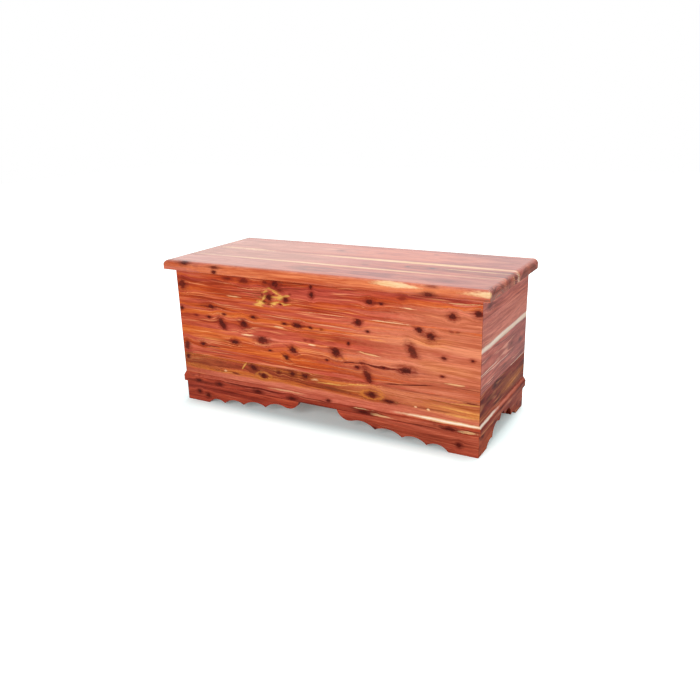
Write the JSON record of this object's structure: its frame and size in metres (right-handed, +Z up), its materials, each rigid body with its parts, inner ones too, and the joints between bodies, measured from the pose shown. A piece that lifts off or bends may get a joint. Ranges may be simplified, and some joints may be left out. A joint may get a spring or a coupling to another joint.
{
  "type": "blanket chest",
  "caption": "Wooden blanket chest: glued board walls on a scalloped bracket base with a bevelled moulding, and a thick overhanging lid on a continuous hinge with slotted stays.",
  "frame": {"origin": "on the floor, at the centre of the whole chest's bounding box", "axes": "+Z up, +X along the chest to its right-hand end as seen from the front, +Y from front to back"},
  "size_m": [1.143, 0.4744, 0.5067],
  "materials": {
    "varnished_cedar": "clear satin varnish",
    "lid_cedar": "clear gloss varnish",
    "bare_cedar": "planed, unfinished",
    "hinge_brass": "satin",
    "stay_brass": "satin, plated",
    "screw_brass": "satin",
    "pin_steel": "bright"
  },
  "bodies": {
    "case": {"back_base_moulding": "varnished_cedar", "back_ledger": "bare_cedar", "back_left_glue_block": "bare_cedar", "back_right_glue_block": "bare_cedar", "back_skirt": "varnished_cedar", "back_wall_bottom_board": "varnished_cedar", "back_wall_lower_board": "varnished_cedar", "back_wall_top_board": "varnished_cedar", "back_wall_upper_board": "varnished_cedar", "bottom_board_1": "bare_cedar", "bottom_board_2": "bare_cedar", "bottom_board_3": "bare_cedar", "bottom_board_4": "bare_cedar", "front_base_moulding": "varnished_cedar", "front_ledger": "bare_cedar", "front_left_glue_block": "bare_cedar", "front_right_glue_block": "bare_cedar", "front_skirt": "varnished_cedar", "front_wall_bottom_board": "varnished_cedar", "front_wall_lower_board": "varnished_cedar", "front_wall_top_board": "varnished_cedar", "front_wall_upper_board": "varnished_cedar", "hinge_case_leaf": "hinge_brass", "hinge_case_screws": "screw_brass", "hinge_pin": "pin_steel", "left_base_moulding": "varnished_cedar", "left_ledger": "bare_cedar", "left_skirt": "varnished_cedar", "left_stay_plate": "stay_brass", "left_stay_plate_screws": "screw_brass", "left_wall_bottom_board": "varnished_cedar", "left_wall_lower_board": "varnished_cedar", "left_wall_top_board": "varnished_cedar", "left_wall_upper_board": "varnished_cedar", "right_base_moulding": "varnished_cedar", "right_ledger": "bare_cedar", "right_skirt": "varnished_cedar", "right_stay_plate": "stay_brass", "right_stay_plate_screws": "screw_brass", "right_wall_bottom_board": "varnished_cedar", "right_wall_lower_board": "varnished_cedar", "right_wall_top_board": "varnished_cedar", "right_wall_upper_board": "varnished_cedar"},
    "lid": {"cleat_screws": "screw_brass", "hinge_lid_leaf": "hinge_brass", "hinge_lid_screws": "screw_brass", "left_lid_cleat": "bare_cedar", "left_stay_bracket": "stay_brass", "left_stay_rivet": "pin_steel", "lid_back_board": "lid_cedar", "lid_front_board": "lid_cedar", "lid_middle_board": "lid_cedar", "middle_lid_cleat": "bare_cedar", "right_lid_cleat": "bare_cedar", "right_stay_bracket": "stay_brass", "right_stay_rivet": "pin_steel", "stay_bracket_screws": "screw_brass"},
    "left_stay": {"left_stay_arm": "stay_brass"},
    "right_stay": {"right_stay_arm": "stay_brass"}
  },
  "joints": [
    {"name": "lid_hinge", "type": "hinge", "parent": "case", "child": "lid", "pos_m": [0, 0.23365, 0.4737], "axis": [-1, 0, 0], "range_deg": [0, 100]},
    {"name": "left_stay_pivot", "type": "hinge", "parent": "lid", "child": "left_stay", "pos_m": [-0.5197, 0.07424, 0.46], "axis": [1, 0, 0], "range_deg": [0, 50]},
    {"name": "right_stay_pivot", "type": "hinge", "parent": "lid", "child": "right_stay", "pos_m": [0.5197, 0.07424, 0.46], "axis": [1, 0, 0], "range_deg": [0, 50]}
  ],
  "couplings": [
    {"joint": "left_stay_pivot", "follows": "lid_hinge", "ratio": 0.5},
    {"joint": "right_stay_pivot", "follows": "lid_hinge", "ratio": 0.5}
  ]
}
